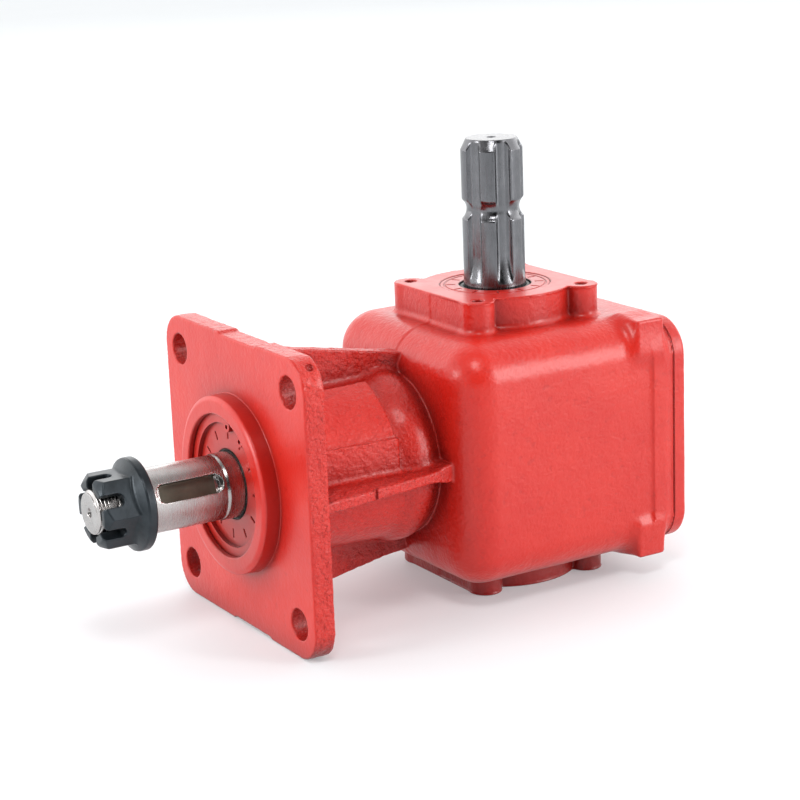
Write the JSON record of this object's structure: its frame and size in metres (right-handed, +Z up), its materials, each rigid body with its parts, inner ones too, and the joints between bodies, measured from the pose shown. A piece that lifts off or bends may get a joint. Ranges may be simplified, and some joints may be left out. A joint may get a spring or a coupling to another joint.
{
  "type": "right angle bevel gearbox",
  "caption": "Cast right angle bevel gearbox with a square mounting flange, a splined input shaft and a keyed output shaft with a castle nut.",
  "frame": {"origin": "centre of the flange's mounting face, on the output shaft's axis", "axes": "-X along the output shaft, out of the flange; +Z up along the input shaft; Y across"},
  "size_m": [0.3497, 0.158, 0.2481],
  "materials": {
    "red_paint": "glossy enamel over a rough sand casting",
    "painted_seal": "rubber-covered seal, outer face painted over",
    "ground_steel": "ground and lightly oiled",
    "gear_steel": "case-hardened, machined",
    "bearing_steel": "polished",
    "cage_brass": "pressed, dull",
    "black_oxide": "black oxide, satin",
    "plug_brass": "turned",
    "zinc_plug": "zinc plated",
    "copper_washer": "soft copper",
    "gasket": "matt"
  },
  "bodies": {
    "root": {"housing": "red_paint", "side_cover": "red_paint", "cover_gasket": "gasket", "cover_screws": "black_oxide", "bottom_cap": "red_paint", "breather_plug": "plug_brass", "level_plug": "zinc_plug", "drain_plug": "zinc_plug", "plug_washers": "copper_washer", "input_seal": "painted_seal", "input_seal_spring": "gear_steel", "output_seal": "painted_seal", "output_seal_spring": "gear_steel", "seal_circlip": "red_paint", "upper_bearing_cup": "bearing_steel", "lower_bearing_cup": "bearing_steel", "front_bearing_cup": "bearing_steel", "rear_bearing_cup": "bearing_steel", "upper_circlip": "black_oxide", "lower_circlip": "black_oxide", "front_circlip": "black_oxide", "rear_circlip": "black_oxide", "upper_shim": "gear_steel"},
    "input_shaft": {"input_shaft": "ground_steel", "crown_gear": "gear_steel", "crown_key": "gear_steel", "gear_spacer": "gear_steel", "upper_bearing_cone": "bearing_steel", "lower_bearing_cone": "bearing_steel"},
    "output_shaft": {"output_shaft": "ground_steel", "pinion_gear": "gear_steel", "pinion_key": "gear_steel", "pinion_spacer": "gear_steel", "pinion_circlip": "black_oxide", "castle_nut": "black_oxide", "front_bearing_cone": "bearing_steel", "rear_bearing_cone": "bearing_steel"},
    "upper_cage": {"upper_bearing_cage": "cage_brass", "upper_bearing_rollers": "bearing_steel"},
    "lower_cage": {"lower_bearing_cage": "cage_brass", "lower_bearing_rollers": "bearing_steel"},
    "front_cage": {"front_bearing_cage": "cage_brass", "front_bearing_rollers": "bearing_steel"},
    "rear_cage": {"rear_bearing_cage": "cage_brass", "rear_bearing_rollers": "bearing_steel"}
  },
  "joints": [
    {"name": "input_spin", "type": "hinge", "parent": "root", "child": "input_shaft", "pos_m": [0.168, 0, 0], "axis": [0, 0, 1], "continuous": true},
    {"name": "output_spin", "type": "hinge", "parent": "root", "child": "output_shaft", "pos_m": [0, 0, 0], "axis": [1, 0, 0], "continuous": true},
    {"name": "upper_cage_spin", "type": "hinge", "parent": "root", "child": "upper_cage", "pos_m": [0.168, 0, 0.063], "axis": [0, 0, 1], "continuous": true},
    {"name": "lower_cage_spin", "type": "hinge", "parent": "root", "child": "lower_cage", "pos_m": [0.168, 0, -0.0615], "axis": [0, 0, 1], "continuous": true},
    {"name": "front_cage_spin", "type": "hinge", "parent": "root", "child": "front_cage", "pos_m": [0.024, 0, 0], "axis": [1, 0, 0], "continuous": true},
    {"name": "rear_cage_spin", "type": "hinge", "parent": "root", "child": "rear_cage", "pos_m": [0.0895, 0, 0], "axis": [1, 0, 0], "continuous": true}
  ],
  "couplings": [
    {"joint": "output_spin", "follows": "input_spin", "ratio": -1.4706},
    {"joint": "upper_cage_spin", "follows": "input_spin", "ratio": 0.4247},
    {"joint": "lower_cage_spin", "follows": "input_spin", "ratio": 0.4247},
    {"joint": "front_cage_spin", "follows": "input_spin", "ratio": -0.63206},
    {"joint": "rear_cage_spin", "follows": "input_spin", "ratio": -0.63206}
  ]
}
